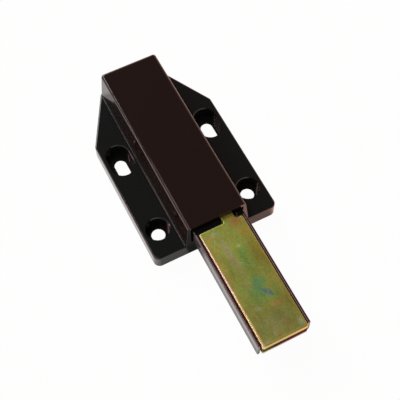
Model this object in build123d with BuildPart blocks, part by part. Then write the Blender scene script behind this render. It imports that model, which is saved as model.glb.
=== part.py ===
"""Push to open catch for a cabinet door: a flanged case, and a sprung plunger with a magnet at its tip.

Millimetres. +Z is up, away from the face that the catch is screwed to. +Y runs to the rear of the
case and the plunger slides along it. The origin is on the mounting face, midway between the two
front screw holes.
"""

import os
from math import cos, radians, sin

from build123d import *

# ---- case, measured from the origin between the front screw holes
front_y = -11.4
case_length = 76.1
rear_y = front_y + case_length
flange_half = 25.0
flange_side_end_y = front_y + 54.0
flange_height = 6.0
flange_skin = 1.7
case_height = 17.8
foot_half = 12.8
top_half = 11.6
front_lean = 0.7
wall = 1.6
front_corner_radius = 2.5
side_corner_radius = 1.6
rear_corner_radius = 1.3
roof_edge_radius = 1.15
flange_edge_radius = 0.6
front_outline_radius = 0.1
foot_radius = 0.4

# ---- screw wells: a cup through the flange with a thin web at its foot
well_x = 18.75
hole_radius = 2.65
well_radius = 4.45
slot_y = 31.7
slot_radius = 2.4
slot_run = 3.8
rear_well_y = 32.85
rear_well_radius = 4.5
rear_well_run = 4.7
well_web = 1.1
well_wall = 1.3

# ---- room inside the case
channel_foot_half = 11.2
channel_top_half = 10.4
window_half = 10.6
sill_z = 8.2
roof_inside_z = 16.5
channel_front_y = front_y + wall
channel_rear_y = rear_y - wall

# ---- plunger
plunger_half = 10.05
plunger_foot_z = 8.6
plunger_top_z = 16.0
plunger_tip_y = front_y - 47.6
plunger_rear_y = front_y + 25.0
rim = 1.0
deck = 1.2
deck_z = plunger_foot_z + deck
bulkhead_front_y = front_y - 1.8
bulkhead_rear_y = front_y + 5.0
floor_setback = 4.2
shoulder_y = channel_front_y + 0.1
runner_foot_z = 1.9

# ---- steel pole plates and the magnet between them
plate_half = 8.75
plate_front_y = front_y - 48.7
plate_rear_y = bulkhead_front_y - 0.05
plate_thickness = 1.6
plate_top_z = 16.2
plate_foot_z = plate_top_z - plate_thickness
magnet_thickness = 2.8
magnet_length = 12.5
lower_plate_thickness = 1.2
lower_plate_length = 13.5
lower_plate_z = plate_foot_z - magnet_thickness - lower_plate_thickness
tongue_x = (1.1, 6.1)
tongue_root_radius = 0.6
tongue_rear_y = front_y + 2.4
lug_x = (7.1, 7.9)

# ---- return spring
spring_z = 12.9
spring_radius = 2.45
spring_wire_radius = 0.35
spring_turns = 18
wire_sides = 6
spring_front_y = bulkhead_rear_y
spring_rear_y = channel_rear_y

# ---- push-push mechanism: a wire follower on the plunger runs in a heart-shaped track on the cover
travel = 37.0
latched_travel = 34.0
follower_y = front_y + 12.0
follower_reach = 12.0
follower_angle = 7.0
follower_z = 7.3
wire_radius = 0.6
follower_sides = 8
lane_half = 0.95
track_floor_z = 3.0
track_top_z = 6.35
track_half = 6.4
pad_corner_radius = 1.2

# ---- back cover and its screws
cover_half = 11.9
cover_thickness = 1.5
cover_gap = 0.1
ear_x = 16.6
ear_y = front_y + 27.5
ear_radius = 3.1
rear_screw_x = 7.6
rear_screw_y = rear_y - 5.6
screw_radius = 1.05
screw_head_radius = 2.1
pilot_radius = 1.15
boss_radius = 2.5
ear_screw_length = 4.6
rear_screw_length = 8.0
hook_x = (5.0, 7.8)

# ---- small features
well_rim_bevel = 0.3
web_foot_bevel = 0.4
foot_setback = 2.0
rib = 1.2
rib_places = (9.0, 22.5, 44.0)
rib_reach = 22.0
rib_foot_z = 0.4
cradle_half = 3.2
cradle_length = 8.0
runner = 1.5
plunger_edge_radius = 0.5
tray_corner_radius = 0.8
tray_lip_radius = 0.3
plate_edge_radius = 0.5
plate_corner_radius = 0.8
magnet_half = 8.45
magnet_setback = 0.5
stake_y = front_y + 22.0
stake_radius = 0.7
leaf_thickness = 0.3
leaf_half = 2.0
latch_x = 1.6
return_x = 3.9
return_step = 0.8

os.makedirs("parts", exist_ok=True)


def save(part, name):
    """Label one finished piece and write it under its own name."""
    part.label = name
    export_step(part, f"parts/{name}.step")


def add_block(x, y, z, mode=Mode.ADD):
    """Add or cut a box between two limits on each axis: plain ribs, lands and cut-outs."""
    with Locations(((x[0] + x[1]) / 2, (y[0] + y[1]) / 2, (z[0] + z[1]) / 2)):
        Box(x[1] - x[0], y[1] - y[0], z[1] - z[0], mode=mode)


def add_pair(x, y, z, mode=Mode.ADD):
    """The same box on the right and, mirrored, on the left."""
    add_block(x, y, z, mode)
    add_block((-x[1], -x[0]), y, z, mode)


def flange_shape():
    """Flange outline: straight sides, then diagonals that run in to the rear of the case."""
    with BuildSketch() as shape:
        with BuildLine():
            right = FilletPolyline(
                (0, front_y),
                (flange_half, front_y),
                (flange_half, flange_side_end_y),
                (foot_half, rear_y),
                (0, rear_y),
                radius=[front_corner_radius, side_corner_radius, rear_corner_radius],
            )
            mirror(right, about=Plane.YZ)
        make_face()
    return shape.sketch


def hood_shape(half, front):
    """Plan of the hood at one height: square in front, rounded corners at the rear."""
    with BuildSketch() as shape:
        with Locations((0, (front + rear_y) / 2)):
            Rectangle(2 * half, rear_y - front)
        fillet(shape.vertices().group_by(Axis.Y)[-1], rear_corner_radius)
    return shape.sketch


def four_openings(front_radius, rear_radius, rear_middle_y, rear_run):
    """Four like openings: round ones at the front and slots along Y at the rear."""
    with Locations((-well_x, 0), (well_x, 0)):
        Circle(front_radius)
    with Locations((-well_x, rear_middle_y), (well_x, rear_middle_y)):
        SlotCenterToCenter(rear_run, 2 * rear_radius, rotation=90)


# ---- hood over the plunger, part of the case: upright below the flange's top, drawn in above it
with BuildPart() as hood:
    for height, half, front in (
        (flange_height, foot_half, front_y),
        (case_height, top_half, front_y + front_lean),
    ):
        with BuildSketch(Plane.XY.offset(height)):
            add(hood_shape(half, front))
    loft()
    roof_edges = hood.edges().group_by(Axis.Z)[-1].filter_by(
        lambda e: e.center().Y > front_y + front_lean + 0.1
    )
    fillet(roof_edges, roof_edge_radius)
    front_face = hood.faces().sort_by(Axis.Y)[0]
    front_outline = front_face.edges().filter_by(lambda e: e.center().Z > flange_height + 0.1)
    fillet(front_outline, front_outline_radius)
    with BuildSketch():
        add(hood_shape(foot_half, front_y))
    extrude(amount=flange_height)


# ---- case: one moulding with the flange, its screw wells, the hood and the ribs underneath
pocket_top = flange_height - flange_skin
channel_middle_y = (channel_front_y + channel_rear_y) / 2
channel_length = channel_rear_y - channel_front_y

with BuildPart() as housing:
    with BuildSketch():
        add(flange_shape())
    extrude(amount=flange_height)
    fillet(housing.edges().group_by(Axis.Z)[-1], flange_edge_radius)

    add(hood.part)
    # cove where the hood meets the flange
    cove_front_y = front_y + flange_edge_radius
    with BuildSketch(Plane.XZ.offset(-cove_front_y)):
        with BuildLine():
            sunk_z = flange_height - 0.2
            flat = Line((foot_half - 0.4, sunk_z), (foot_half + foot_radius, sunk_z))
            lip = Line(flat @ 1, (foot_half + foot_radius, flange_height))
            curve = RadiusArc(lip @ 1, (foot_half - 0.05, flange_height + foot_radius), -foot_radius)
            Line(curve @ 1, flat @ 0)
        make_face()
        mirror(about=Plane.YZ)
    extrude(amount=cove_front_y - (rear_y - foot_setback))

    # underside of the flange: hollow to an even skin
    with BuildSketch():
        add(flange_shape())
        offset(amount=-wall, kind=Kind.INTERSECTION, mode=Mode.REPLACE)
        Rectangle(2 * foot_half, 3 * case_length, mode=Mode.SUBTRACT)
    extrude(amount=pocket_top, mode=Mode.SUBTRACT)

    # screw wells and the webs at their feet
    with BuildSketch():
        four_openings(well_radius + well_wall, rear_well_radius + well_wall, rear_well_y, rear_well_run)
    extrude(amount=pocket_top)
    with BuildSketch(Plane.XY.offset(well_web)):
        four_openings(well_radius, rear_well_radius, rear_well_y, rear_well_run)
    extrude(amount=flange_height - well_web, mode=Mode.SUBTRACT)
    chamfer(housing.edges(Select.LAST).group_by(Axis.Z)[-1], well_rim_bevel)
    with BuildSketch():
        four_openings(hole_radius, slot_radius, slot_y, slot_run)
    extrude(amount=flange_height, mode=Mode.SUBTRACT)
    chamfer(housing.edges(Select.LAST).group_by(Axis.Z)[0], web_foot_bevel)

    # ribs under the flange, and a boss on each side for the cover's ears
    for rib_y in rib_places:
        add_pair((foot_half - 0.1, rib_reach), (rib_y, rib_y + rib), (rib_foot_z, pocket_top))
    with BuildSketch(Plane.XY.offset(cover_thickness)):
        with Locations((-ear_x, ear_y), (ear_x, ear_y)):
            Circle(boss_radius)
    extrude(amount=pocket_top - cover_thickness)

    # channel for the plunger, open underneath, and its window in the front wall
    with BuildSketch():
        with Locations((0, channel_middle_y)):
            Rectangle(2 * channel_foot_half, channel_length)
    extrude(amount=flange_height, mode=Mode.SUBTRACT)
    for height, half in ((flange_height, channel_foot_half), (roof_inside_z, channel_top_half)):
        with BuildSketch(Plane.XY.offset(height)):
            with Locations((0, channel_middle_y)):
                Rectangle(2 * half, channel_length)
    loft(mode=Mode.SUBTRACT)
    add_block(
        (-window_half, window_half),
        (front_y - 1, channel_front_y + 0.1),
        (sill_z, roof_inside_z),
        Mode.SUBTRACT,
    )

    # rear end: two screw bosses tied to the rear wall, and a cradle for the spring
    with BuildSketch(Plane.XY.offset(cover_thickness)):
        with Locations((-rear_screw_x, rear_screw_y), (rear_screw_x, rear_screw_y)):
            Circle(boss_radius)
    extrude(amount=roof_inside_z - cover_thickness)
    add_pair(
        (rear_screw_x - rib / 2, rear_screw_x + rib / 2),
        (rear_screw_y, channel_rear_y),
        (cover_thickness, roof_inside_z),
    )
    add_pair(
        (cradle_half, cradle_half + rib),
        (channel_rear_y - cradle_length, channel_rear_y),
        (spring_z - 3.5, roof_inside_z),
    )

    # seat for the cover: a ledge all round, a notch for each ear, pockets for its two hooks
    with BuildSketch():
        with Locations((0, channel_middle_y)):
            Rectangle(2 * cover_half, channel_length)
        with Locations((-ear_x, ear_y), (ear_x, ear_y)):
            Circle(ear_radius + cover_gap)
        with Locations((0, ear_y)):
            Rectangle(2 * ear_x, 2 * (ear_radius + cover_gap))
    extrude(amount=cover_thickness, mode=Mode.SUBTRACT)
    add_pair(
        (hook_x[0] - 0.2, hook_x[1] + 0.2),
        (channel_front_y - 1.1, channel_front_y),
        (cover_thickness, cover_thickness + 1.6),
        Mode.SUBTRACT,
    )
    with BuildSketch(Plane.XY.offset(cover_thickness)):
        with Locations((-ear_x, ear_y), (ear_x, ear_y)):
            Circle(pilot_radius)
    extrude(amount=ear_screw_length - cover_thickness + 0.3, mode=Mode.SUBTRACT)
    with BuildSketch(Plane.XY.offset(cover_thickness)):
        with Locations((-rear_screw_x, rear_screw_y), (rear_screw_x, rear_screw_y)):
            Circle(pilot_radius)
    extrude(amount=rear_screw_length - cover_thickness + 0.5, mode=Mode.SUBTRACT)
save(housing.part, "housing")


# ---- plunger: a tray for the magnet in front, runners and a spring channel behind
with BuildPart() as plunger:
    add_block(
        (-plunger_half, plunger_half), (plunger_tip_y, plunger_rear_y), (plunger_foot_z, plunger_top_z)
    )
    long_edges = plunger.edges().filter_by(Axis.Y)
    fillet(long_edges, plunger_edge_radius)
    inner_half = plunger_half - rim
    add_block(
        (-inner_half, inner_half), (plunger_tip_y - 1, bulkhead_front_y), (deck_z, 20), Mode.SUBTRACT
    )
    fillet(plunger.edges(Select.LAST).filter_by(Axis.Z).group_by(Axis.Y)[-1], tray_corner_radius)
    lip = plunger.edges().group_by(Axis.Z)[-1].filter_by(lambda e: abs(e.center().X) < inner_half + 0.1)
    fillet(lip.filter_by(lambda e: e.center().Y < bulkhead_front_y + 0.1), tray_lip_radius)
    add_block(
        (-inner_half, inner_half),
        (plunger_tip_y - 1, plunger_tip_y + floor_setback),
        (0, 20),
        Mode.SUBTRACT,
    )
    add_block(
        (-inner_half, inner_half), (bulkhead_rear_y, plunger_rear_y + 1), (deck_z, 20), Mode.SUBTRACT
    )
    # seat for the lower plate, a stop behind the magnet and ribs that carry the upper plate
    stack_rear_y = plate_front_y + lower_plate_length
    add_block(
        (-inner_half, inner_half),
        (plunger_tip_y + floor_setback, stack_rear_y + rib),
        (deck_z, lower_plate_z),
    )
    add_block(
        (-inner_half, inner_half), (stack_rear_y + 0.1, stack_rear_y + rib), (deck_z, plate_foot_z)
    )
    add_pair((3.5, 3.5 + rib), (stack_rear_y, bulkhead_front_y), (deck_z, plate_foot_z))
    for place in (1, 2, 3):
        rib_y = stack_rear_y + place * (bulkhead_front_y - stack_rear_y) / 4
        add_block((-inner_half, inner_half), (rib_y, rib_y + rib), (deck_z, plate_foot_z))
    # slot for the plate's tongue, and the lug beside it
    slot_gap = tongue_root_radius + 0.1
    add_block(
        (tongue_x[0] - slot_gap, tongue_x[1] + slot_gap),
        (bulkhead_front_y - 1, tongue_rear_y + 0.1),
        (plate_foot_z, 20),
        Mode.SUBTRACT,
    )
    add_block(lug_x, (bulkhead_front_y + 0.3, front_y + 1.2), (plunger_top_z - 1, plate_top_z))
    # runners that stop the plunger against the inside of the sill
    add_pair(
        (plunger_half - runner, plunger_half),
        (shoulder_y, plunger_rear_y),
        (runner_foot_z, plunger_foot_z + 1),
    )
    # walls that keep the spring straight
    channel_half = spring_radius + spring_wire_radius + 0.15
    add_pair(
        (channel_half, channel_half + 1.0), (bulkhead_rear_y, plunger_rear_y), (deck_z, plunger_top_z - 0.4)
    )
    # pivot hole for the follower and the stake that holds its leaf spring
    with BuildSketch(Plane.XY.offset(plunger_foot_z)):
        with Locations((0, follower_y)):
            Circle(wire_radius + 0.05)
    extrude(amount=deck, mode=Mode.SUBTRACT)
    with BuildSketch(Plane.XY.offset(plunger_foot_z - 0.55)):
        with Locations((0, stake_y)):
            Circle(stake_radius)
    extrude(amount=0.6)
save(plunger.part, "plunger")


# ---- upper pole plate: it fills the tray, stands just proud of the rim and has a tongue at the rear
with BuildPart() as upper_pole_plate:
    with BuildSketch(Plane.XY.offset(plate_foot_z)):
        with BuildLine():
            Polyline(
                (-plate_half, plate_front_y),
                (plate_half, plate_front_y),
                (plate_half, plate_rear_y),
                (tongue_x[1], plate_rear_y),
                (tongue_x[1], tongue_rear_y),
                (tongue_x[0], tongue_rear_y),
                (tongue_x[0], plate_rear_y),
                (-plate_half, plate_rear_y),
                close=True,
            )
        make_face()
    extrude(amount=plate_thickness)
    upright = upper_pole_plate.edges().filter_by(Axis.Z)
    corners = upright.filter_by(lambda e: abs(e.center().X) > plate_half - 0.1)
    tongue_roots = (upright - corners).group_by(Axis.Y)[0]
    fillet(corners, plate_corner_radius)
    fillet(tongue_roots, tongue_root_radius)
    top_edges = upper_pole_plate.edges().group_by(Axis.Z)[-1]
    fillet(top_edges, plate_edge_radius)
save(upper_pole_plate.part, "upper_pole_plate")


# ---- magnet block and lower pole plate, stacked under the tip of the upper plate
with BuildPart() as magnet:
    magnet_front_y = plate_front_y + magnet_setback
    add_block(
        (-magnet_half, magnet_half),
        (magnet_front_y, magnet_front_y + magnet_length),
        (lower_plate_z + lower_plate_thickness, plate_foot_z),
    )
    chamfer(magnet.edges().filter_by(Axis.Z), 0.4)
save(magnet.part, "magnet")

with BuildPart() as lower_pole_plate:
    add_block(
        (-plate_half, plate_half),
        (plate_front_y, plate_front_y + lower_plate_length),
        (lower_plate_z, lower_plate_z + lower_plate_thickness),
    )
    fillet(lower_pole_plate.edges().filter_by(Axis.Z), 0.6)
save(lower_pole_plate.part, "lower_pole_plate")


# ---- return spring: closed end turns, from the plunger's bulkhead to the rear wall of the case
with BuildPart() as return_spring:
    spring_length = spring_rear_y - spring_front_y - 2 * (spring_wire_radius + 0.02)
    spring_start = (0, spring_front_y + spring_wire_radius + 0.02, spring_z)
    with BuildLine() as coil:
        Helix(spring_length / spring_turns, spring_length, spring_radius, spring_start, (0, 1, 0))
    with BuildSketch(Plane(coil.line @ 0, z_dir=coil.line % 0)):
        RegularPolygon(spring_wire_radius, wire_sides)
    sweep(path=coil.line, is_frenet=True)
save(return_spring.part, "return_spring")


# ---- follower: a wire bent to a Z, pivoted in the plunger with its tip down in the track
tip_x = follower_reach * sin(radians(follower_angle))
tip_y = follower_y + follower_reach * cos(radians(follower_angle))

with BuildPart() as cam_follower:
    with BuildLine() as wire:
        FilletPolyline(
            (0, follower_y, deck_z - 0.1),
            (0, follower_y, follower_z),
            (tip_x, tip_y, follower_z),
            (tip_x, tip_y, track_floor_z + 0.3),
            radius=1.0,
        )
    with BuildSketch(Plane(wire.line @ 0, z_dir=wire.line % 0)):
        RegularPolygon(wire_radius, follower_sides)
    sweep(path=wire.line)
save(cam_follower.part, "cam_follower")


# ---- leaf spring that keeps the follower's tip down on the floor of the track
with BuildPart() as follower_spring:
    leaf_top_z = plunger_foot_z - 0.05
    with BuildSketch(Plane.YZ):
        with BuildLine() as leaf:
            Polyline(
                (plunger_rear_y - 0.5, leaf_top_z - leaf_thickness / 2),
                (stake_y - 2.5, leaf_top_z - leaf_thickness / 2),
                (follower_y + 3.0, follower_z + wire_radius + 0.08 + leaf_thickness / 2),
            )
        trace(leaf.line, leaf_thickness)
    extrude(amount=leaf_half, both=True)
    with BuildSketch(Plane.XY.offset(plunger_foot_z - 1)):
        with Locations((0, stake_y)):
            Circle(stake_radius + 0.05)
    extrude(amount=2, mode=Mode.SUBTRACT)
save(follower_spring.part, "follower_spring")


# ---- back cover: closes the case, carries the heart-shaped track and a saddle for the spring
lane_start = (tip_x, tip_y - 3.0)
lane_end = (-tip_x, tip_y + travel)
latch = (latch_x, tip_y + latched_travel)
return_start = (return_x, lane_end[1])
return_bend = (return_x, lane_end[1] - 9.0)
return_join = (0.2, lane_end[1] - 21.0)

with BuildPart() as back_cover:
    with BuildSketch():
        with Locations((0, channel_middle_y)):
            Rectangle(2 * (cover_half - cover_gap), channel_length - 2 * cover_gap)
        with Locations((0, ear_y)):
            Rectangle(2 * ear_x, 2 * ear_radius)
        with Locations((-ear_x, ear_y), (ear_x, ear_y)):
            Circle(ear_radius)
    extrude(amount=cover_thickness)
    add_pair(
        hook_x,
        (channel_front_y - 0.9, channel_front_y + 1.0),
        (cover_thickness, cover_thickness + 1.2),
    )
    # raised pad with the track sunk in it: a lane in, a notch that holds, and a lane back
    add_block(
        (-track_half, track_half),
        (tip_y - 1.9, lane_end[1] + 2.4),
        (cover_thickness, track_top_z),
    )
    pad_corners = back_cover.edges().filter_by(Axis.Z).filter_by(
        lambda e: abs(abs(e.center().X) - track_half) < 0.1
    )
    fillet(pad_corners, pad_corner_radius)
    with BuildSketch(Plane.XY.offset(track_floor_z)):
        with BuildLine() as lane_in:
            Polyline(lane_start, lane_end)
        trace(lane_in.line, 2 * lane_half)
        with BuildLine() as lane_latch:
            Polyline(lane_end, latch, return_start)
        trace(lane_latch.line, 2 * lane_half)
        with Locations(lane_end, latch, return_start):
            Circle(lane_half)
    extrude(amount=10, mode=Mode.SUBTRACT)
    with BuildSketch(Plane.XY.offset(track_floor_z + return_step)):
        with BuildLine() as lane_back:
            Polyline(return_start, return_bend, return_join)
        trace(lane_back.line, 2 * lane_half)
        with Locations(return_start, return_bend, return_join):
            Circle(lane_half)
    extrude(amount=10, mode=Mode.SUBTRACT)
    # saddle under the rear end of the spring
    add_block(
        (-cradle_half + 0.3, cradle_half - 0.3),
        (channel_rear_y - 5.0, channel_rear_y - 1.5),
        (cover_thickness, spring_z - 1.0),
    )
    with BuildSketch(Plane.XZ.offset(-channel_rear_y)):
        with Locations((0, spring_z)):
            Circle(spring_radius + spring_wire_radius + 0.1)
    extrude(amount=6, mode=Mode.SUBTRACT)
    for x, y in (
        (-ear_x, ear_y),
        (ear_x, ear_y),
        (-rear_screw_x, rear_screw_y),
        (rear_screw_x, rear_screw_y),
    ):
        with Locations(Location((x, y, 0), (180, 0, 0))):
            CounterSinkHole(screw_radius + 0.15, screw_head_radius + 0.1, cover_thickness + 0.1, 90)
save(back_cover.part, "back_cover")


# ---- four countersunk screws that hold the cover, with a cross recess in each head
def cover_screw(x, y, length):
    """One self-tapping screw, head down, flush with the mounting face."""
    with BuildPart() as screw:
        with BuildSketch(Plane((x, y, 0), x_dir=(1, 0, 0), z_dir=(0, -1, 0))):
            with BuildLine():
                Polyline(
                    (0, 0.05),
                    (screw_head_radius, 0.05),
                    (screw_radius, 0.05 + screw_head_radius - screw_radius),
                    (screw_radius, length - 1.2),
                    (0.3, length),
                    (0, length),
                    close=True,
                )
            make_face()
        revolve(axis=Axis((x, y, 0), (0, 0, 1)))
        add_block((x - 1.1, x + 1.1), (y - 0.25, y + 0.25), (-0.1, 0.75), Mode.SUBTRACT)
        add_block((x - 0.25, x + 0.25), (y - 1.1, y + 1.1), (-0.1, 0.75), Mode.SUBTRACT)
    return screw.part


for side, sign in (("left", -1), ("right", 1)):
    save(cover_screw(sign * ear_x, ear_y, ear_screw_length), f"cover_screw_middle_{side}")
    save(cover_screw(sign * rear_screw_x, rear_screw_y, rear_screw_length), f"cover_screw_rear_{side}")
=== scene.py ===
# %% [markdown]
# # A push to open catch in plastic and zinc-plated steel
#
# The catch is screwed inside a cabinet. A flanged case holds a sprung plunger, and a magnet at the
# plunger's tip grips a plate on the door. Push the door and the plunger pops out and lets go.
#
# All the solids come from the CAD model, already in place and in metres, so this lesson is mostly
# about surfaces: moulded ABS with a high gloss, steel with a yellow chromate film on its zinc,
# ferrite, and bright steel. Only the return spring is wound anew, as a real coil.

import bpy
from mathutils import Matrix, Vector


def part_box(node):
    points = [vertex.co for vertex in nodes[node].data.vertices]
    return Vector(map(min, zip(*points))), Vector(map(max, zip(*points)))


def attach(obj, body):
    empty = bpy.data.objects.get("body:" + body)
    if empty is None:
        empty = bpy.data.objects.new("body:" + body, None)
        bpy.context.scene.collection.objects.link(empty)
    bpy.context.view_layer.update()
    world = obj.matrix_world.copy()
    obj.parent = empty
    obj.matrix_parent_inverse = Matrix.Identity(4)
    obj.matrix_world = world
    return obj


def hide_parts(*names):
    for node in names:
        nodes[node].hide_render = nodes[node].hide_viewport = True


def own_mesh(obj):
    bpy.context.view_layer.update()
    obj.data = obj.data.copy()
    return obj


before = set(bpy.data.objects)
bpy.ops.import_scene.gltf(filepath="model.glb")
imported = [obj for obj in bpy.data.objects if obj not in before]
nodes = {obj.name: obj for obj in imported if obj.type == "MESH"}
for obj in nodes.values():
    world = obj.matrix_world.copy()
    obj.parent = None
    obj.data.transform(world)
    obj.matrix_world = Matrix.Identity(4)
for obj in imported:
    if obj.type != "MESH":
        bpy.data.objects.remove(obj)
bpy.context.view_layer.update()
print("nodes:", sorted(nodes))

# %% [markdown]
# ## Measures and colours
#
# Sizes are written in millimetres, as on a drawing, and turned to metres by one factor. Colours are
# written as sRGB hex values, because that is how a colour chart gives them, and one function turns
# them to the linear values that shaders work in.

# %% Units and colours
import math

import bmesh
import bpy
from mathutils import Matrix, Vector

MM = 0.001


def linear(hex_colour):
    """An sRGB hex colour as linear RGBA."""
    channels = [int(hex_colour[i : i + 2], 16) / 255 for i in (1, 3, 5)]
    return tuple(
        c / 12.92 if c <= 0.04045 else ((c + 0.055) / 1.055) ** 2.4 for c in channels
    ) + (1.0,)


print("mid grey in linear light:", [round(c, 3) for c in linear("#808080")])

# %% [markdown]
# ## The camera
#
# The catch lies flat on its mounting face and is seen from above its front left, turned so that the
# plunger points down and to the right. The three axes of the view are set directly, which keeps the
# perspective of the long case exact.

# %% Camera
VIEW_RIGHT = Vector((0.8903, -0.4554, -0.0039))
VIEW_BACK = Vector((-0.2129, -0.4231, 0.8807))
VIEW_POINT = (-0.06836, -0.13315, 0.2907)

camera_data = bpy.data.cameras.new("camera")
camera_data.lens = 78.17
camera_data.sensor_width = 36
camera = bpy.data.objects.new("camera", camera_data)
bpy.context.scene.collection.objects.link(camera)
view_back = VIEW_BACK.normalized()
view_up = view_back.cross(VIEW_RIGHT).normalized()
view_right = view_up.cross(view_back)
view_axes = Matrix((view_right, view_up, view_back)).transposed()
camera.matrix_world = Matrix.Translation(VIEW_POINT) @ view_axes.to_4x4()
bpy.context.scene.camera = camera
print("camera height:", round(camera.location.z, 3), "m")

# %% [markdown]
# ## Helpers for every shader
#
# A material is a small graph. The first helper adds one node, sets what is given by name or by
# socket, and links sockets that come from other nodes, so each finish below reads as a short recipe.
# The last one marks out a zone of a piece, such as a rubbed edge, by bands along the axes.


# %% A node with its settings and links
def add_node(tree, kind, settings=None, **sockets):
    """Adds a node. settings are its own properties; sockets are values, or other nodes' outputs."""
    node = tree.nodes.new("ShaderNode" + kind)
    for name, value in (settings or {}).items():
        setattr(node, name, value)
    for name, value in sockets.items():
        key = int(name[1:]) if name[0] == "_" else name.replace("_", " ")
        if isinstance(value, bpy.types.NodeSocket):
            tree.links.new(value, node.inputs[key])
        else:
            node.inputs[key].default_value = value
    return node


def new_material(name):
    """An empty material with its output node, and the Object coordinates every pattern uses."""
    material = bpy.data.materials.new(name)
    material.use_nodes = True
    tree = material.node_tree
    tree.nodes.clear()
    output = tree.nodes.new("ShaderNodeOutputMaterial")
    place = add_node(tree, "TexCoord").outputs["Object"]
    return material, tree, output, place


def zone(tree, place, *bands):
    """1 where all the bands overlap. A band is an axis, and where it is 0 and 1 in millimetres."""
    axes = add_node(tree, "SeparateXYZ", Vector=place)
    overlap = 1.0
    for axis, start, end in bands:
        band = add_node(
            tree,
            "MapRange",
            Value=axes.outputs[axis],
            From_Min=start * MM,
            From_Max=end * MM,
        )
        overlap = add_node(
            tree,
            "Math",
            {"operation": "MULTIPLY"},
            _0=band.outputs["Result"],
            _1=overlap,
        ).outputs[0]
    return overlap


print("shader helpers ready")

# %% [markdown]
# ## The floor
#
# The catch lies on a white sheet, and a flat grid is all that it needs. It sits a hair below the
# mounting face, so that the two never fight for the same depth.

# %% Floor sheet
FLOOR_DROP = 0.05 * MM
FLOOR_HALF = 3.0

floor_mesh = bpy.data.meshes.new("floor")
shape = bmesh.new()
bmesh.ops.create_grid(shape, x_segments=1, y_segments=1, size=FLOOR_HALF)
bmesh.ops.translate(shape, verts=shape.verts, vec=(0, 0, -FLOOR_DROP))
shape.to_mesh(floor_mesh)
shape.free()
floor = bpy.data.objects.new("floor", floor_mesh)
bpy.context.scene.collection.objects.link(floor)
print("floor is", FLOOR_HALF * 2, "m wide")

# %% [markdown]
# Little light gets under the catch and close beside it. A glossy case would mirror a fully white
# floor there, so the sheet is darkened by the distance outside each part's outline: black under the
# case, dim under the plunger, and a soft shade round the foot.

# %% Where the floor is open
paper, tree, output, place = new_material("white_paper")


def shade(node, reach_y, start, end, least):
    """least where the floor is deep under a node, 1 clear of it; lengths in millimetres.

    start and end are distances outside the node's outline, which first grows by reach_y along Y."""
    low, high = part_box(node)
    middle = (low + high) / 2
    offset = add_node(
        tree,
        "VectorMath",
        {"operation": "SUBTRACT"},
        _0=place,
        _1=(middle.x, middle.y, 0),
    )
    offset = add_node(tree, "VectorMath", {"operation": "ABSOLUTE"}, _0=offset.outputs[0])
    offset = add_node(
        tree,
        "VectorMath",
        {"operation": "SUBTRACT"},
        _0=offset.outputs[0],
        _1=(high.x - middle.x, high.y - middle.y + reach_y * MM, 0),
    )
    gap = add_node(tree, "SeparateXYZ", Vector=offset.outputs[0])
    outside = add_node(
        tree, "Math", {"operation": "MAXIMUM"}, _0=gap.outputs["X"], _1=gap.outputs["Y"]
    )
    return add_node(
        tree,
        "MapRange",
        Value=outside.outputs[0],
        From_Min=start * MM,
        From_Max=end * MM,
        To_Min=least,
    ).outputs["Result"]


open_floor = add_node(
    tree,
    "Math",
    {"operation": "MULTIPLY"},
    _0=shade("housing", 0, -2.0, -0.5, 0.0),
    _1=shade("plunger", 0, 1.3, 2.3, 0.15),
)
open_floor = add_node(
    tree,
    "Math",
    {"operation": "MULTIPLY"},
    _0=open_floor.outputs[0],
    _1=shade("housing", 5, -2.5, -0.2, 0.45),
)
print("floor darkened under the case and the plunger")

# %% [markdown]
# Seen by the camera the floor is mostly its own white, and the rest is a matt sheet that keeps the
# soft shadow. In a reflection about half of it glows, and it glows brighter and warmer on the right,
# where the room beside the catch is warmer too.

# %% White paper
SEEN_GLOW = 0.97
MIRRORED_GLOW = 0.55
MIRRORED_LEVEL = 1.25
WARM_FROM = 4
WARM_TO = 14

rays = add_node(tree, "LightPath")
mirrored = add_node(
    tree,
    "Math",
    {"operation": "MAXIMUM"},
    _0=rays.outputs["Is Glossy Ray"],
    _1=rays.outputs["Is Transmission Ray"],
)
mirrored_glow = add_node(
    tree, "Math", {"operation": "MULTIPLY"}, _0=open_floor.outputs[0], _1=MIRRORED_GLOW
)
share = add_node(
    tree,
    "Math",
    {"operation": "MULTIPLY"},
    _0=mirrored.outputs[0],
    _1=mirrored_glow.outputs[0],
)
share = add_node(
    tree,
    "Math",
    {"operation": "MULTIPLY_ADD"},
    _0=rays.outputs["Is Camera Ray"],
    _1=SEEN_GLOW,
    _2=share.outputs[0],
)
lit_floor = add_node(
    tree,
    "Math",
    {"operation": "MAXIMUM"},
    _0=open_floor.outputs[0],
    _1=rays.outputs["Is Camera Ray"],
)
white = add_node(
    tree,
    "Mix",
    {"data_type": "RGBA"},
    _0=lit_floor.outputs[0],
    _6=linear("#202020"),
    _7=linear("#F4F4F4"),
)
sheet = add_node(tree, "BsdfDiffuse", Color=white.outputs[2])
warm = add_node(
    tree,
    "Math",
    {"operation": "MULTIPLY"},
    _0=zone(tree, place, ("X", WARM_FROM, WARM_TO)),
    _1=mirrored.outputs[0],
)
warm_white = add_node(
    tree,
    "Mix",
    {"data_type": "RGBA"},
    _0=warm.outputs[0],
    _6=linear("#FFFFFF"),
    _7=linear("#FFCDBE"),
)
level = add_node(
    tree,
    "Math",
    {"operation": "MULTIPLY_ADD"},
    _0=mirrored.outputs[0],
    _1=MIRRORED_LEVEL - 1.0,
    _2=1.0,
)
level = add_node(
    tree, "Math", {"operation": "ADD"}, _0=warm.outputs[0], _1=level.outputs[0]
)
glow = add_node(tree, "Emission", Color=warm_white.outputs[2], Strength=level.outputs[0])
mixed = add_node(
    tree, "MixShader", _0=share.outputs[0], _1=sheet.outputs[0], _2=glow.outputs[0]
)
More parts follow.
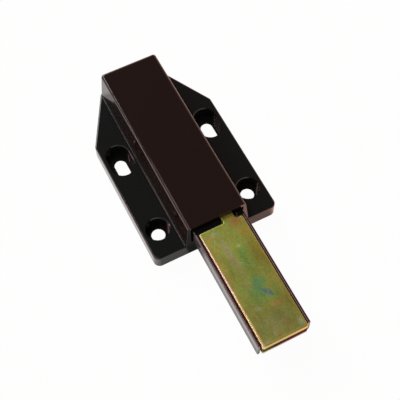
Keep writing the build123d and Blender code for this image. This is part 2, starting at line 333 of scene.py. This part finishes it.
tree.links.new(mixed.outputs[0], output.inputs["Surface"])
floor_mesh.materials.append(paper)
print("paper shows", SEEN_GLOW, "of its own white")

# %% [markdown]
# ## The surround
#
# A room with pale walls lights a thing more from the horizon than from overhead. So the surround is
# white low down and nearly black above, dimmer on the far left and warmer on the right. A glossy top
# then stays deep and dark while upright walls pick up the light. The camera itself sees plain white.

# %% Surround
WALLS_END = 0.42
CEILING_START = 0.80
CEILING_LEVEL = 0.055
LEFT_LEVEL = 0.45

world = bpy.data.worlds.new("surround")
bpy.context.scene.world = world
world.use_nodes = True
tree = world.node_tree
tree.nodes.clear()
direction = add_node(tree, "TexCoord").outputs["Generated"]
axes = add_node(tree, "SeparateXYZ", Vector=direction)
overhead = add_node(
    tree,
    "MapRange",
    {"interpolation_type": "SMOOTHSTEP"},
    Value=axes.outputs["Z"],
    From_Min=WALLS_END,
    From_Max=CEILING_START,
    To_Min=1.0,
    To_Max=CEILING_LEVEL,
)
left = add_node(
    tree,
    "MapRange",
    {"interpolation_type": "SMOOTHSTEP"},
    Value=axes.outputs["X"],
    From_Min=-0.75,
    From_Max=-0.10,
    To_Min=LEFT_LEVEL,
    To_Max=1.0,
)
level = add_node(
    tree,
    "Math",
    {"operation": "MULTIPLY"},
    _0=overhead.outputs["Result"],
    _1=left.outputs["Result"],
)
right = add_node(tree, "MapRange", Value=axes.outputs["X"], From_Min=-0.1, From_Max=0.5)
cast = add_node(
    tree,
    "Mix",
    {"data_type": "RGBA"},
    _0=right.outputs["Result"],
    _6=linear("#FFFFFF"),
    _7=linear("#F6C3AE"),
)
rays = add_node(tree, "LightPath")
room = add_node(tree, "Background", Color=cast.outputs[2], Strength=level.outputs[0])
white = add_node(tree, "Background", Color=linear("#FFFFFF"), Strength=1.0)
mixed = add_node(
    tree,
    "MixShader",
    _0=rays.outputs["Is Camera Ray"],
    _1=room.outputs[0],
    _2=white.outputs[0],
)
add_node(tree, "OutputWorld", Surface=mixed.outputs[0])
print("surround ready")

# %% [markdown]
# ## The lamps
#
# Two narrow, slightly warm softboxes run along the catch on its left, one low and one high, and draw
# the thin bright lines on its rounded edges. A wide one behind it is the key light, and gives the
# plates their sheen.


# %% Lamps
def add_softbox(name, place, long_axis, size, radiance, colour="#FFFFFF"):
    """An area lamp facing the catch, its long side along long_axis, as bright as radiance says."""
    data = bpy.data.lights.new(name, "AREA")
    data.shape = "RECTANGLE"
    data.size, data.size_y = size
    data.energy = radiance * math.pi * size[0] * size[1]
    data.color = linear(colour)[:3]
    lamp = bpy.data.objects.new(name, data)
    away = Vector(place).normalized()
    side = away.cross(Vector(long_axis)).normalized()
    lamp_axes = Matrix((side.cross(away), side, away)).transposed()
    lamp.matrix_world = Matrix.Translation(place) @ lamp_axes.to_4x4()
    bpy.context.scene.collection.objects.link(lamp)


add_softbox("low_strip", (-0.60, 0.10, 0.04), (0, 1, 0), (0.56, 0.14), 4.6, "#FFD2C8")
add_softbox("high_strip", (-0.232, 0.13, 0.76), (0, 1, 0), (0.58, 0.085), 10.0, "#FFCCC2")
add_softbox("key_light", (-0.22, 0.83, 0.54), (1, 0, 0), (0.8, 0.6), 4.75)
bpy.context.scene.view_settings.view_transform = "Standard"

# %% [markdown]
# ## Case, plunger and cover: moulded ABS
#
# ABS is moulded against polished steel, so it comes out glossy with a very slight ripple. In a deep
# brown it shows almost no light of its own: what the eye reads is the gloss. The colour varies a
# little in clouds, and it is darker towards the bottom, browner on the hood and blacker low on the
# flange: painted shade, deepest down in the screw wells. Down in the screw wells, where the mould
# is hard to polish, the gloss is a touch hazier. The cover's mould was left satin.
#
# All the patterns are noise on Object coordinates, sized in millimetres: clouds of colour 14 mm
# across, haze in the gloss 5 mm across, and the ripple at 1.6 mm.


# %% Moulded ABS
WELL_REACH = 23.9
WELL_TOP = 5.4
WELL_HAZE = 0.06


def moulded_abs(name, low_colour, high_colour, low_z, high_z, roughness):
    """Glossy plastic going from low_colour at low_z to high_colour at high_z, in millimetres above
    the floor. The darker low colour is painted shade.
    """
    material, tree, output, place = new_material(name)
    axes = add_node(tree, "SeparateXYZ", Vector=place)
    # Painted shade: the colour darkens towards low_z, most of all down in the screw wells.
    painted_shade_by_height = add_node(
        tree,
        "MapRange",
        Value=axes.outputs["Z"],
        From_Min=low_z * MM,
        From_Max=high_z * MM,
    )
    clouds = add_node(
        tree, "TexNoise", Vector=place, Scale=1 / (14 * MM), Detail=3.0, Roughness=0.55
    )
    clouds_and_painted_shade = add_node(
        tree,
        "Math",
        {"operation": "MULTIPLY_ADD"},
        _0=clouds.outputs["Fac"],
        _1=0.5,
        _2=painted_shade_by_height.outputs["Result"],
    )
    amount = add_node(
        tree, "Math", {"operation": "SUBTRACT", "use_clamp": True}, _0=clouds_and_painted_shade.outputs[0], _1=0.25
    )
    colour = add_node(
        tree,
        "Mix",
        {"data_type": "RGBA"},
        _0=amount.outputs[0],
        _6=linear(low_colour),
        _7=linear(high_colour),
    )
    haze = add_node(
        tree, "TexNoise", Vector=place, Scale=1 / (5 * MM), Detail=4.0, Roughness=0.6
    )
    gloss = add_node(
        tree,
        "MapRange",
        Value=haze.outputs["Fac"],
        From_Min=0.3,
        From_Max=0.7,
        To_Min=roughness * 0.75,
        To_Max=roughness * 1.3,
    )
    across = add_node(tree, "Math", {"operation": "ABSOLUTE"}, _0=axes.outputs["X"])
    inboard = add_node(
        tree,
        "MapRange",
        Value=across.outputs[0],
        From_Min=WELL_REACH * MM,
        From_Max=(WELL_REACH + 0.4) * MM,
        To_Min=WELL_HAZE,
        To_Max=0.0,
    )
    gloss = add_node(
        tree,
        "Math",
        {"operation": "MULTIPLY_ADD"},
        _0=inboard.outputs["Result"],
        _1=zone(tree, place, ("Z", WELL_TOP, WELL_TOP - 0.5)),
        _2=gloss.outputs["Result"],
    )
    ripple = add_node(
        tree, "TexNoise", Vector=place, Scale=1 / (1.6 * MM), Detail=2.0, Roughness=0.5
    )
    bump = add_node(
        tree, "Bump", Strength=0.10, Distance=0.05 * MM, Height=ripple.outputs["Fac"]
    )
    shader = add_node(
        tree,
        "BsdfPrincipled",
        Base_Color=colour.outputs[2],
        Roughness=gloss.outputs[0],
        IOR=1.54,
        Normal=bump.outputs["Normal"],
    )
    tree.links.new(shader.outputs[0], output.inputs["Surface"])
    return material, shader


def finish_node(node, material):
    """Gives one CAD node its material."""
    mesh = nodes[node].data
    mesh.materials.clear()
    mesh.materials.append(material)


case_abs, _ = moulded_abs("glossy_abs_case", "#151B1B", "#221816", 5, 12, 0.07)
plunger_abs, tray_shader = moulded_abs("glossy_abs_plunger", "#140B0C", "#201214", 8, 16, 0.12)
cover_abs, _ = moulded_abs("satin_abs_cover", "#171412", "#1C1614", 0, 6, 0.34)
finish_node("housing", case_abs)
finish_node("plunger", plunger_abs)
finish_node("back_cover", cover_abs)
print("plastics:", [m.name for m in (case_abs, plunger_abs, cover_abs)])

# %% [markdown]
# ## Painted light on the plunger, and a matt slide
#
# Some of the plunger's light is painted on. The top edges of the tray are painted paler as painted
# highlights, the upper left side is painted grey as a painted reflection of the white floor, both
# sides are matt low down where they slide, and the end that stays inside the case is painted near
# black as painted shade under its roof. Each mark is a zone of the tray, and the marks are laid over
# the moulded colour one after another, so the painted shade covers what lies under it.

# %% Painted highlights, reflection and shade on the tray
# Where the painted shade in the case's mouth ends on the tray, in millimetres along Y.
OPENING_SHADE_END = -12.8
SLIDE_TOP = 12.8
SLIDE_MATT = 0.22

tree = plunger_abs.node_tree
place = add_node(tree, "TexCoord").outputs["Object"]
tray_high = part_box("plunger")[1] / MM
near_top = ("Z", tray_high.z - 0.9, tray_high.z - 0.4)
# Painted highlights: the left rim's outer edge and the right rim's inner lip are painted paler.
painted_lip_highlights = add_node(
    tree,
    "Math",
    {"operation": "MAXIMUM"},
    _0=zone(tree, place, near_top, ("X", -9.3, -9.8)),
    _1=zone(tree, place, near_top, ("X", 8.95, 9.05), ("X", 9.45, 9.3)),
)
# Painted shade: the end of the tray inside the case's mouth, under its roof, is painted near black.
painted_opening_shade = zone(tree, place, ("Y", OPENING_SHADE_END - 0.6, OPENING_SHADE_END))
# Painted reflection: the upper left flank is painted light grey, as the white floor mirrored in it.
painted_floor_reflection = zone(
    tree,
    place,
    ("X", -9.6, -9.8),
    ("Z", 15.4, 14.2),
    ("Y", OPENING_SHADE_END - 0.2, OPENING_SHADE_END - 11.2),
)
colour_with_painted_light = tray_shader.inputs["Base Color"].links[0].from_socket
for amount, mark in (
    (painted_lip_highlights.outputs[0], "#6A5B5E"),
    (painted_opening_shade, "#05080A"),
    (painted_floor_reflection, "#5C6260"),
):
    colour_with_painted_light = add_node(
        tree,
        "Mix",
        {"data_type": "RGBA"},
        _0=amount,
        _6=colour_with_painted_light,
        _7=linear(mark),
    ).outputs[2]
tree.links.new(colour_with_painted_light, tray_shader.inputs["Base Color"])
matt = add_node(
    tree,
    "Math",
    {"operation": "MULTIPLY_ADD"},
    _0=zone(tree, place, ("Z", SLIDE_TOP, SLIDE_TOP - 0.6)),
    _1=SLIDE_MATT,
    _2=tray_shader.inputs["Roughness"].links[0].from_socket,
)
tree.links.new(matt.outputs[0], tray_shader.inputs["Roughness"])
print("tray top, mm:", round(tray_high.z, 1))

# %% [markdown]
# ## Pole plates: zinc with a yellow chromate film
#
# Plated hardware gets its colour from a chromate film a few hundred nanometres thick. Where the film
# is thinner or thicker the colour runs from straw through olive and green to teal and rose, in
# patches drawn along the sheet. Metal carries all its colour in the reflection, so the pattern sits
# in the base colour of a fully metallic shader with a satin roughness. Its ground is a noise 4 mm
# across, stretched to twice that along the plate, through a ramp of straw and olive.


# %% Chromated zinc
def film_spot(tree, vector, centre, size, turn):
    """A soft elliptic patch, 1 at its centre, from half sizes in millimetres and a turn."""
    spot = add_node(
        tree,
        "Mapping",
        {"vector_type": "TEXTURE"},
        Vector=vector,
        Location=(centre[0] * MM, centre[1] * MM, 15 * MM),
        Rotation=(0, 0, math.radians(turn)),
        Scale=(size[0] * MM, size[1] * MM, 20 * MM),
    )
    return add_node(
        tree, "TexGradient", {"gradient_type": "SPHERICAL"}, Vector=spot.outputs[0]
    ).outputs["Fac"]


def tint(tree, colour, amount, strength, new_colour):
    """Mixes new_colour over colour by amount times strength."""
    share = add_node(
        tree,
        "Math",
        {"operation": "MULTIPLY", "use_clamp": True},
        _0=amount,
        _1=strength,
    )
    return add_node(
        tree,
        "Mix",
        {"data_type": "RGBA"},
        _0=share.outputs[0],
        _6=colour,
        _7=linear(new_colour),
    ).outputs[2]


zinc, tree, output, place = new_material("yellow_zinc")
drawn = add_node(tree, "Mapping", Vector=place, Scale=(1.0, 0.45, 1.0)).outputs[0]
broad = add_node(
    tree, "TexNoise", Vector=drawn, Scale=1 / (4 * MM), Detail=5.0, Roughness=0.62
)
film = add_node(tree, "ValToRGB", Fac=broad.outputs["Fac"])
ramp = film.color_ramp.elements
ramp[0].position, ramp[0].color = 0.32, linear("#B8B356")
ramp[1].position, ramp[1].color = 0.70, linear("#98BC5E")
for position, hue in ((0.43, "#B0BA5C"), (0.52, "#A8BA58"), (0.60, "#B3B158")):
    ramp.new(position).color = linear(hue)
print("film ramp has", len(ramp), "colours")

# %% [markdown]
# The patches are placed one by one, in millimetres on the plate: first the large fields of green and
# ochre, then the teal and violet where the film is thickest, then the small pale and rusty spots.
# A noise pushes their edges about, so that none of them reads as an ellipse. Three fine scratches
# lie across them and stay straight.

# %% Patches of the film
# Each patch has a centre, half sizes, a turn in degrees, a strength and a colour.
FILM_PATCHES = (
    ((-0.5, -41.0), (7.0, 9.5), 8, 1.0, "#97BC5C"),
    ((2.0, -28.0), (4.4, 10.0), -4, 1.1, "#95BB59"),
    ((-5.4, -30.0), (2.4, 9.0), 4, 0.8, "#A2BC5C"),
    ((6.7, -26.0), (3.0, 16.0), 0, 1.2, "#AEA94B"),
    ((-7.4, -27.0), (2.2, 13.0), 0, 1.0, "#BBB058"),
    ((-0.5, -54.5), (9.5, 6.5), 0, 1.2, "#A7AF6C"),
    ((-0.6, -42.6), (4.2, 4.6), -25, 1.1, "#8ABF6C"),
    ((0.9, -39.3), (3.4, 4.4), -20, 1.4, "#7DB878"),
    ((2.4, -43.4), (3.6, 2.0), -42, 1.1, "#80B678"),
    ((2.2, -43.0), (2.8, 0.9), -45, 1.6, "#7697A2"),
    ((4.6, -45.3), (1.7, 0.6), -38, 1.3, "#8CBD6C"),
    ((-2.6, -25.0), (1.7, 11.5), 3, 1.3, "#AEAE7C"),
    ((-2.9, -37.5), (1.3, 3.4), 0, 0.9, "#B4AB72"),
    ((-0.1, -29.8), (1.5, 1.5), 0, 0.9, "#8CBA6C"),
    ((1.8, -26.2), (1.2, 2.2), -12, 0.9, "#8ABA62"),
    ((5.2, -14.6), (3.4, 2.8), 0, 1.4, "#C29C57"),
    ((6.0, -19.4), (1.8, 2.6), 0, 1.0, "#B79E44"),
    ((-6.3, -16.6), (1.4, 1.7), 0, 1.2, "#C8A855"),
    ((-4.4, -15.8), (2.0, 1.6), 30, 0.9, "#BCCB90"),
    ((1.75, -23.4), (1.1, 0.9), 0, 1.0, "#C6DC96"),
    ((-3.8, -47.3), (2.1, 1.2), -25, 1.1, "#B2D29C"),
    ((3.2, -48.2), (3.8, 1.2), -12, 1.2, "#C7AE66"),
    ((7.2, -47.0), (1.8, 1.1), -10, 1.0, "#C2A850"),
    ((4.4, -56.0), (3.6, 2.2), 0, 0.8, "#B0A25A"),
    ((-1.0, -57.4), (2.4, 1.4), 0, 0.6, "#B7A860"),
    ((-4.2, -53.6), (2.0, 1.5), 0, 0.7, "#A0BD76"),
    ((7.4, -57.6), (1.8, 1.8), 0, 1.1, "#BCD0A0"),
    ((-2.4, -57.2), (0.8, 1.4), 0, 0.9, "#B6CA8E"),
    ((-6.4, -58.9), (2.0, 0.9), 0, 1.1, "#BFCFA2"),
)
SCRATCHES = (
    ((1.2, -31.5), (3.6, 0.22), -27),
    ((-0.6, -29.6), (2.2, 0.18), -31),
    ((-5.7, -19.8), (3.4, 0.20), 63),
)
PUSH = 2.4

ragged = add_node(
    tree, "TexNoise", Vector=place, Scale=1 / (2.2 * MM), Detail=5.0, Roughness=0.65
)
centred = add_node(
    tree,
    "VectorMath",
    {"operation": "SUBTRACT"},
    _0=place,
    _1=(PUSH / 2 * MM, PUSH / 2 * MM, 0),
)
pushed = add_node(
    tree,
    "VectorMath",
    {"operation": "MULTIPLY_ADD"},
    _0=ragged.outputs["Color"],
    _1=(PUSH * MM, PUSH * MM, 0),
    _2=centred.outputs[0],
).outputs[0]
colour = film.outputs["Color"]
for centre, size, turn, strength, hue in FILM_PATCHES:
    spot = film_spot(tree, pushed, centre, size, turn)
    colour = tint(tree, colour, spot, strength, hue)
for centre, size, turn in SCRATCHES:
    scratch = film_spot(tree, place, centre, size, turn)
    colour = tint(tree, colour, scratch, 0.7, "#C9D49A")
print("film patches:", len(FILM_PATCHES), "scratches:", len(SCRATCHES))

# %% [markdown]
# Finer than the patches, the coat is mottled at half a millimetre and at one and a half, a little in
# hue as well as in depth, and its crystals glint. Plated crystals are far too fine to be seen one by
# one, so they are drawn at 0.4 mm, as coarse as they must be to show.

# %% Mottling
mottle = add_node(
    tree, "TexNoise", Vector=place, Scale=1 / (1.5 * MM), Detail=3.0, Roughness=0.6
)
rust = add_node(
    tree, "MapRange", Value=mottle.outputs["Fac"], From_Min=0.52, From_Max=0.72
)
colour = tint(tree, colour, rust.outputs["Result"], 0.55, "#BFA654")
moss = add_node(
    tree, "MapRange", Value=mottle.outputs["Fac"], From_Min=0.46, From_Max=0.28
)
colour = tint(tree, colour, moss.outputs["Result"], 0.5, "#9DC26C")
grain = add_node(
    tree, "TexNoise", Vector=place, Scale=1 / (0.55 * MM), Detail=2.0, Roughness=0.6
)
speckle = add_node(
    tree,
    "VectorMath",
    {"operation": "MULTIPLY_ADD"},
    _0=grain.outputs["Color"],
    _1=(0.5, 0.45, 0.75),
    _2=(0.75, 0.86, 0.77),
)
colour = add_node(
    tree, "VectorMath", {"operation": "MULTIPLY"}, _0=colour, _1=speckle.outputs[0]
).outputs[0]
sparkle = add_node(
    tree, "TexNoise", Vector=place, Scale=1 / (0.4 * MM), Detail=1.0, Roughness=0.5
)
glint = add_node(
    tree,
    "MapRange",
    Value=sparkle.outputs["Fac"],
    From_Min=0.3,
    From_Max=0.7,
    To_Min=0.86,
    To_Max=1.12,
)
colour = add_node(
    tree,
    "VectorMath",
    {"operation": "SCALE"},
    _0=colour,
    Scale=glint.outputs["Result"],
).outputs[0]
print("coat mottled")

# %% [markdown]
# The pressed edges of the upper plate are worn, and painted paler along their rounded edges as
# painted
# highlights: worn through to the metal along the left one, pinkish at first and straw coloured
# towards the tip, where the line also widens, and a brighter yellow at the tip and the right. The
# lower plate's cut edge at the front is painted brown as painted shade, but for the corner on the
# left.

# %% Edges
STRAW_FROM = -36
STRAW_TO = -42
WIDENING = 0.014

plate_low, plate_high = (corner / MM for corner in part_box("upper_pole_plate"))
pale_edge_and_highlight = add_node(
    tree,
    "Mix",
    {"data_type": "RGBA"},
    _0=zone(tree, place, ("Y", STRAW_FROM, STRAW_TO)),
    _6=linear("#F2D6C6"),
    _7=linear("#ECDCA6"),
)
raised = zone(tree, place, ("Z", plate_low.z - 0.2, plate_low.z))
left_edge = plate_low.x + WIDENING * STRAW_FROM
# Each edge band is wear and a painted highlight on the rounded edge at once.
for inward, faint, full, wear_and_highlight in (
    ((1, 0, 0), plate_high.x - 0.75, plate_high.x - 0.45, linear("#BFC068")),
    ((0, 1, 0), plate_low.y + 1.2, plate_low.y + 0.7, linear("#CCC874")),
    ((1, WIDENING, 0), left_edge + 0.8, left_edge + 0.5, pale_edge_and_highlight.outputs[2]),
):
    depth = add_node(
        tree, "VectorMath", {"operation": "DOT_PRODUCT"}, _0=place, _1=inward
    )
    rubbed_and_highlit = add_node(
        tree,
        "MapRange",
        Value=depth.outputs["Value"],
        From_Min=faint * MM,
        From_Max=full * MM,
    )
    share = add_node(
        tree,
        "Math",
        {"operation": "MULTIPLY"},
        _0=rubbed_and_highlit.outputs["Result"],
        _1=raised,
    )
    colour = add_node(
        tree,
        "Mix",
        {"data_type": "RGBA"},
        _0=share.outputs[0],
        _6=colour,
        _7=wear_and_highlight,
    ).outputs[2]
# Painted shade: the lower plate's front edge is painted brown, except at its left corner.
painted_front_shade = zone(
    tree,
    place,
    ("Z", plate_low.z - 1.0, plate_low.z - 1.5),
    ("X", -7.0, -3.0),
    ("Y", plate_low.y + 1.2, plate_low.y + 0.8),
)
colour = tint(tree, colour, painted_front_shade, 1.0, "#96604E")
print("plate, mm:", [round(v, 1) for v in plate_high - plate_low])

# %% Satin coat
gloss = add_node(
    tree,
    "MapRange",
    Value=broad.outputs["Fac"],
    From_Min=0.3,
    From_Max=0.7,
    To_Min=0.38,
    To_Max=0.48,
)
pits = add_node(
    tree, "Bump", Strength=0.16, Distance=0.03 * MM, Height=grain.outputs["Fac"]
)
shader = add_node(
    tree,
    "BsdfPrincipled",
    Base_Color=colour,
    Metallic=1.0,
    Roughness=gloss.outputs["Result"],
    Normal=pits.outputs["Normal"],
)
tree.links.new(shader.outputs[0], output.inputs["Surface"])
finish_node("upper_pole_plate", zinc)
finish_node("lower_pole_plate", zinc)
print("plates coated with", zinc.name)

# %% [markdown]
# ## Magnet: pressed ferrite
#
# The magnet is a block of sintered ferrite, a dark ceramic with a reddish brown cast. It is pressed
# from powder, so the face is matt and slightly pitted. The powder is far too fine to show, so its
# noise is drawn at half a millimetre.

# %% Ferrite
ferrite, tree, output, place = new_material("pressed_ferrite")
powder = add_node(
    tree, "TexNoise", Vector=place, Scale=1 / (0.5 * MM), Detail=5.0, Roughness=0.7
)
tone = add_node(tree, "ValToRGB", Fac=powder.outputs["Fac"])
ramp = tone.color_ramp.elements
ramp[0].position, ramp[0].color = 0.3, linear("#6A3228")
ramp[1].position, ramp[1].color = 0.7, linear("#A05C48")
pits = add_node(
    tree, "Bump", Strength=0.4, Distance=0.06 * MM, Height=powder.outputs["Fac"]
)
shader = add_node(
    tree,
    "BsdfPrincipled",
    Base_Color=tone.outputs["Color"],
    Roughness=0.62,
    IOR=1.9,
    Normal=pits.outputs["Normal"],
)
tree.links.new(shader.outputs[0], output.inputs["Surface"])
finish_node("magnet", ferrite)
magnet_low, magnet_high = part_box("magnet")
print("magnet is", round((magnet_high.x - magnet_low.x) / MM, 1), "mm wide")

# %% [markdown]
# ## Springs, follower and screws: bright steel
#
# Spring wire is drawn through a die, which leaves fine lines along it and a grey sheen. The screws
# are plated with clear zinc, lighter and a little cloudy. The die lines are finer than can be seen,
# so they are drawn 0.15 mm apart, as a slight roughening of the surface.


# %% Bright steel
def bright_steel(name, dark, light, patch, roughness):
    """Plain or zinc-plated steel: a cloud of two greys, patch millimetres across."""
    material, tree, output, place = new_material(name)
    cloud = add_node(
        tree, "TexNoise", Vector=place, Scale=1 / (patch * MM), Detail=4.0, Roughness=0.6
    )
    tone = add_node(tree, "ValToRGB", Fac=cloud.outputs["Fac"])
    ramp = tone.color_ramp.elements
    ramp[0].position, ramp[0].color = 0.35, linear(dark)
    ramp[1].position, ramp[1].color = 0.65, linear(light)
    gloss = add_node(
        tree,
        "MapRange",
        Value=cloud.outputs["Fac"],
        From_Min=0.3,
        From_Max=0.7,
        To_Min=roughness * 0.8,
        To_Max=roughness * 1.25,
    )
    lines = add_node(
        tree, "TexNoise", Vector=place, Scale=1 / (0.15 * MM), Detail=2.0, Roughness=0.5
    )
    bump = add_node(
        tree, "Bump", Strength=0.1, Distance=0.01 * MM, Height=lines.outputs["Fac"]
    )
    shader = add_node(
        tree,
        "BsdfPrincipled",
        Base_Color=tone.outputs["Color"],
        Metallic=1.0,
        Roughness=gloss.outputs["Result"],
        Normal=bump.outputs["Normal"],
    )
    tree.links.new(shader.outputs[0], output.inputs["Surface"])
    return material


spring_wire = bright_steel("drawn_spring_wire", "#9A9A98", "#B8B7B2", 0.8, 0.30)
screw_zinc = bright_steel("clear_zinc_screws", "#B4B8BA", "#CDD0D0", 0.6, 0.34)
screws = [name for name in nodes if name.startswith("cover_screw")]
for name in ("follower_spring", "cam_follower"):
    finish_node(name, spring_wire)
for name in screws:
    finish_node(name, screw_zinc)
print("screws:", len(screws))

# %% [markdown]
# ## Return spring
#
# A compression spring is wound from one wire, with a closed turn at each end so that it stands
# square, and open turns between. A screw modifier could make it, but here the spin operator sweeps a
# ring of edges round the spring's axis with a small step along it, and the step changes between the
# closed and the open turns.

# %% Coil
WIRE_RADIUS = 0.35
WIRE_SIDES = 10
CLOSED_PITCH = 0.72
OPEN_TURNS = 16
STEPS_PER_TURN = 28

spring_low, spring_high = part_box("return_spring")
coil_radius = (spring_high.x - spring_low.x) / 2 - WIRE_RADIUS * MM
axis_x = (spring_low.x + spring_high.x) / 2
axis_z = (spring_low.z + spring_high.z) / 2
free_length = spring_high.y - spring_low.y
wire_start = spring_low.y + WIRE_RADIUS * MM
open_length = free_length - 2 * (WIRE_RADIUS + CLOSED_PITCH) * MM
open_pitch = open_length / OPEN_TURNS

shape = bmesh.new()
bmesh.ops.create_circle(
    shape,
    cap_ends=False,
    radius=WIRE_RADIUS * MM,
    segments=WIRE_SIDES,
    matrix=Matrix.Translation((axis_x + coil_radius, wire_start, axis_z)),
)
wire_end = list(shape.verts) + list(shape.edges)
for turns, pitch in (
    (1, CLOSED_PITCH * MM),
    (OPEN_TURNS, open_pitch),
    (1, CLOSED_PITCH * MM),
):
    swept = bmesh.ops.spin(
        shape,
        geom=wire_end,
        cent=(axis_x, 0, axis_z),
        axis=(0, 1, 0),
        dvec=(0, pitch / STEPS_PER_TURN, 0),
        angle=turns * 2 * math.pi,
        steps=turns * STEPS_PER_TURN,
        use_merge=False,
        use_duplicate=False,
    )
    wire_end = swept["geom_last"]
ends = [edge for edge in shape.edges if edge.is_boundary]
bmesh.ops.holes_fill(shape, edges=ends, sides=0)
bmesh.ops.recalc_face_normals(shape, faces=shape.faces)
for face in shape.faces:
    face.smooth = len(face.verts) == 4
coil_mesh = bpy.data.meshes.new("return_coil")
shape.to_mesh(coil_mesh)
shape.free()
return_coil = bpy.data.objects.new("return_coil", coil_mesh)
bpy.context.scene.collection.objects.link(return_coil)
coil_mesh.materials.append(spring_wire)
print("coil:", OPEN_TURNS + 2, "turns,", len(coil_mesh.polygons), "faces")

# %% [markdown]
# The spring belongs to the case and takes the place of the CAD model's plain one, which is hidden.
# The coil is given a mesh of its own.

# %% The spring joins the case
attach(return_coil, "case")
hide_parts("return_spring")

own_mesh(return_coil)
